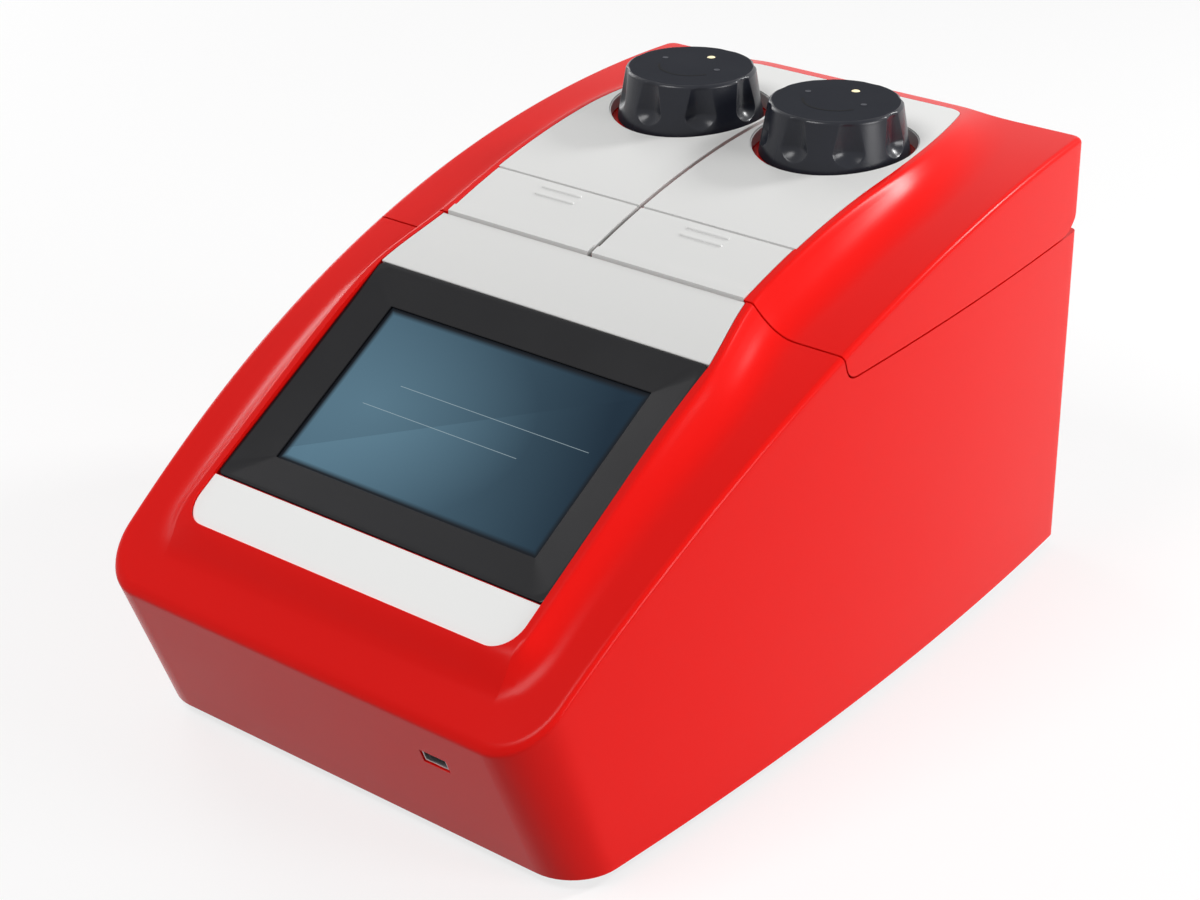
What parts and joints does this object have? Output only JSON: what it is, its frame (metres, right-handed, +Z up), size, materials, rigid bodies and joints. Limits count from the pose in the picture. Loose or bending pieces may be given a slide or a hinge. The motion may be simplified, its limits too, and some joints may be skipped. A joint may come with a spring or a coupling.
{
  "type": "thermal cycler",
  "caption": "Bench thermal cycler: red case with a sloping touch screen, two hinged lids with large pressure knobs over two finely drilled sample blocks.",
  "frame": {"origin": "on the table under the middle of the case", "axes": "+X right, +Y to the rear, +Z up, seen from the screen's side"},
  "size_m": [0.288, 0.4463, 0.2636],
  "materials": {
    "red_gloss": "glossy moulded plastic",
    "grey_panel": "light grey, satin gloss",
    "knob_dark": "dark blue-grey satin",
    "bezel_black": "black, satin gloss",
    "screen_glass": "glossy dark screen",
    "lamp_cream": "translucent lens",
    "dark_plastic": "matte",
    "steel": "brushed",
    "aluminium": "anodised",
    "zinc_sheet": "coated sheet",
    "liner_grey": "matte",
    "ceramic": "ceramic white",
    "board_green": "coated board",
    "foam_insulation": "foam",
    "rubber_black": "matte",
    "brass": "plain"
  },
  "bodies": {
    "base": {"lower_housing": "red_gloss", "base_plate": "zinc_sheet", "feet": "rubber_black", "front_plate": "grey_panel", "front_band": "grey_panel", "display_bezel": "bezel_black", "touch_panel": "screen_glass", "display_module": "dark_plastic", "usb_socket": "steel", "bay_plate": "liner_grey", "sample_block_left": "aluminium", "sample_block_right": "aluminium", "peltier_tiles_left": "ceramic", "peltier_tiles_right": "ceramic", "heat_sink_left": "aluminium", "heat_sink_right": "aluminium", "block_posts": "steel", "rear_panel": "zinc_sheet", "mains_inlet": "dark_plastic", "switch_frame": "dark_plastic", "data_sockets": "steel", "fan_frame_left": "dark_plastic", "fan_frame_right": "dark_plastic", "control_board": "board_green", "standoffs": "brass", "power_supply": "zinc_sheet", "hinge_brackets": "steel", "hinge_pins": "steel", "latch_strikers": "steel"},
    "rocker": {"switch_rocker": "dark_plastic"},
    "lid_left": {"lid_shell_left": "red_gloss", "lid_panel_left": "grey_panel", "lid_liner_left": "liner_grey", "hinge_arms_left": "steel", "latch_pin_left": "steel", "guide_posts_left": "steel"},
    "latch_left": {"latch_flap_left": "grey_panel"},
    "knob_left": {"knob_left": "knob_dark", "knob_lamp_left": "lamp_cream", "spindle_left": "steel"},
    "heater_left": {"heated_plate_left": "aluminium", "plate_insulation_left": "foam_insulation", "pressure_plate_left": "aluminium"},
    "fan_left": {"fan_rotor_left": "dark_plastic"},
    "lid_right": {"lid_shell_right": "red_gloss", "lid_panel_right": "grey_panel", "lid_liner_right": "liner_grey", "hinge_arms_right": "steel", "latch_pin_right": "steel", "guide_posts_right": "steel"},
    "latch_right": {"latch_flap_right": "grey_panel"},
    "knob_right": {"knob_right": "knob_dark", "knob_lamp_right": "lamp_cream", "spindle_right": "steel"},
    "heater_right": {"heated_plate_right": "aluminium", "plate_insulation_right": "foam_insulation", "pressure_plate_right": "aluminium"},
    "fan_right": {"fan_rotor_right": "dark_plastic"}
  },
  "joints": [
    {"name": "lid_hinge_left", "type": "hinge", "parent": "base", "child": "lid_left", "pos_m": [-0.0453, 0.2055, 0.204], "axis": [-1, 0, 0], "range_deg": [0, 75]},
    {"name": "latch_lift_left", "type": "hinge", "parent": "lid_left", "child": "latch_left", "pos_m": [-0.0453, 0.0233, 0.22073], "axis": [-1, 0, 0], "range_deg": [0, 10], "stiffness_Nm_per_rad": 0.6, "springref_deg": -11.46},
    {"name": "knob_turn_left", "type": "hinge", "parent": "lid_left", "child": "knob_left", "pos_m": [-0.0453, 0.1261, 0.246], "axis": [0, 0, -1], "range_deg": [0, 720]},
    {"name": "heater_drop_left", "type": "slide", "parent": "lid_left", "child": "heater_left", "axis": [0, 0, -1], "range_m": [0, 0.008]},
    {"name": "fan_spin_left", "type": "hinge", "parent": "base", "child": "fan_left", "pos_m": [-0.0453, 0.2085, 0.112], "axis": [0, 1, 0], "continuous": true},
    {"name": "lid_hinge_right", "type": "hinge", "parent": "base", "child": "lid_right", "pos_m": [0.0453, 0.2055, 0.204], "axis": [-1, 0, 0], "range_deg": [0, 75]},
    {"name": "latch_lift_right", "type": "hinge", "parent": "lid_right", "child": "latch_right", "pos_m": [0.0453, 0.0233, 0.22073], "axis": [-1, 0, 0], "range_deg": [0, 10], "stiffness_Nm_per_rad": 0.6, "springref_deg": -11.46},
    {"name": "knob_turn_right", "type": "hinge", "parent": "lid_right", "child": "knob_right", "pos_m": [0.0453, 0.1261, 0.246], "axis": [0, 0, -1], "range_deg": [0, 720]},
    {"name": "heater_drop_right", "type": "slide", "parent": "lid_right", "child": "heater_right", "axis": [0, 0, -1], "range_m": [0, 0.008]},
    {"name": "fan_spin_right", "type": "hinge", "parent": "base", "child": "fan_right", "pos_m": [0.0453, 0.2085, 0.112], "axis": [0, 1, 0], "continuous": true},
    {"name": "switch_rock", "type": "hinge", "parent": "base", "child": "rocker", "pos_m": [-0.042, 0.2191, 0.042], "axis": [1, 0, 0], "range_deg": [-16, 0]}
  ],
  "couplings": [
    {"joint": "knob_turn_left", "follows": "heater_drop_left", "rad_per_m": 1570.8},
    {"joint": "knob_turn_right", "follows": "heater_drop_right", "rad_per_m": 1570.8}
  ]
}
